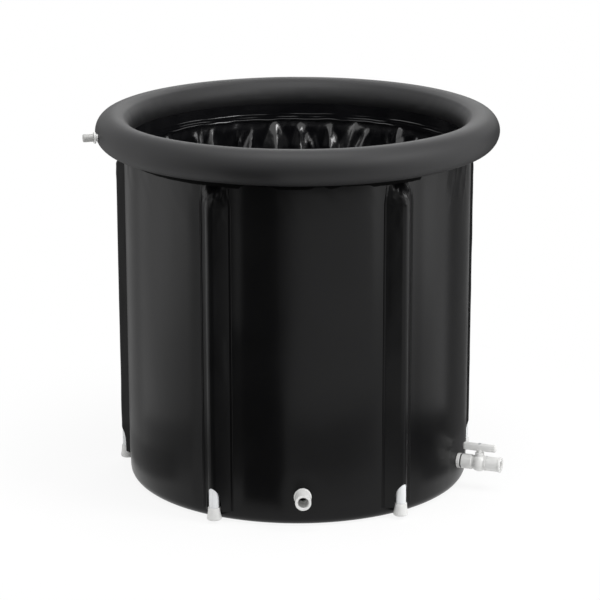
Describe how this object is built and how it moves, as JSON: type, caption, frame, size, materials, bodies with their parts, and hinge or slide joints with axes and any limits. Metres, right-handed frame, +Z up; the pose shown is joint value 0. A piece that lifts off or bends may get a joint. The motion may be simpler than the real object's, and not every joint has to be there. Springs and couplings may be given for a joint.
{
  "type": "cold plunge tub",
  "caption": "Round soft-walled tub with an inflatable rim, pocketed support rods on white feet, a low front spout and a quarter-turn drain tap.",
  "frame": {"origin": "middle of the base sheet's underside, on the floor", "axes": "+Z up through the mouth, -Y towards the spout at the front, +X towards the side with the tap"},
  "size_m": [0.8335, 0.806, 0.75],
  "materials": {
    "wall_sheet": "black satin PVC sheet",
    "ring_sheet": "dark grey matte PVC sheet",
    "liner_sheet": "black glossy PVC sheet",
    "foam": "grey closed-cell foam sheet",
    "rod_plastic": "white extruded uPVC pipe",
    "white_plastic": "white moulded plastic",
    "seat_plastic": "off-white low-friction plastic",
    "rubber": "black matte rubber",
    "screw_steel": "plain stainless steel"
  },
  "bodies": {
    "tub": {"outer_wall": "wall_sheet", "wall_insulation": "foam", "base_sheet": "wall_sheet", "base_insulation": "foam", "liner_floor": "liner_sheet", "inner_liner": "liner_sheet", "liner_hem": "liner_sheet", "inflatable_ring": "ring_sheet", "ring_weld_band": "wall_sheet", "pocket_1": "wall_sheet", "pocket_2": "wall_sheet", "pocket_3": "wall_sheet", "pocket_4": "wall_sheet", "pocket_5": "wall_sheet", "pocket_6": "wall_sheet", "spout_body": "white_plastic", "spout_gasket": "rubber", "spout_inner_gasket": "rubber", "spout_nut": "white_plastic", "tap_bulkhead": "white_plastic", "tap_inner_gasket": "rubber", "tap_lock_nut": "white_plastic", "tap_gasket": "rubber", "tap_body": "white_plastic", "tap_seat_inner": "seat_plastic", "tap_seat_outer": "seat_plastic", "tap_outlet": "white_plastic", "tap_stem_seal": "rubber", "air_valve_base": "white_plastic"},
    "rod_1": {"support_rod_1": "rod_plastic", "rod_foot_1": "white_plastic", "rod_plug_1": "white_plastic"},
    "rod_2": {"support_rod_2": "rod_plastic", "rod_foot_2": "white_plastic", "rod_plug_2": "white_plastic"},
    "rod_3": {"support_rod_3": "rod_plastic", "rod_foot_3": "white_plastic", "rod_plug_3": "white_plastic"},
    "rod_4": {"support_rod_4": "rod_plastic", "rod_foot_4": "white_plastic", "rod_plug_4": "white_plastic"},
    "rod_5": {"support_rod_5": "rod_plastic", "rod_foot_5": "white_plastic", "rod_plug_5": "white_plastic"},
    "rod_6": {"support_rod_6": "rod_plastic", "rod_foot_6": "white_plastic", "rod_plug_6": "white_plastic"},
    "tap_handle": {"tap_ball": "white_plastic", "tap_stem": "white_plastic", "tap_lever": "white_plastic", "tap_lever_screw": "screw_steel"},
    "valve_cap": {"air_valve_cap": "white_plastic", "air_valve_seal": "rubber"},
    "plug": {"drain_plug": "rubber"}
  },
  "joints": [
    {"name": "tap_lever_turn", "type": "hinge", "parent": "tub", "child": "tap_handle", "pos_m": [0.36494, -0.14009, 0.057], "axis": [0, 0, 1], "range_deg": [0, 90]},
    {"name": "valve_cap_off", "type": "slide", "parent": "tub", "child": "valve_cap", "axis": [-0.9724, -0.2334, 0], "range_m": [0, 0.03]},
    {"name": "drain_plug_out", "type": "slide", "parent": "tub", "child": "plug", "axis": [-0.0262, 0.9997, 0], "range_m": [0, 0.04]},
    {"name": "rod_1_out", "type": "slide", "parent": "tub", "child": "rod_1", "axis": [0, 0, -1], "range_m": [0, 0.62]},
    {"name": "rod_2_out", "type": "slide", "parent": "tub", "child": "rod_2", "axis": [0, 0, -1], "range_m": [0, 0.62]},
    {"name": "rod_3_out", "type": "slide", "parent": "tub", "child": "rod_3", "axis": [0, 0, -1], "range_m": [0, 0.62]},
    {"name": "rod_4_out", "type": "slide", "parent": "tub", "child": "rod_4", "axis": [0, 0, -1], "range_m": [0, 0.62]},
    {"name": "rod_5_out", "type": "slide", "parent": "tub", "child": "rod_5", "axis": [0, 0, -1], "range_m": [0, 0.62]},
    {"name": "rod_6_out", "type": "slide", "parent": "tub", "child": "rod_6", "axis": [0, 0, -1], "range_m": [0, 0.62]}
  ]
}
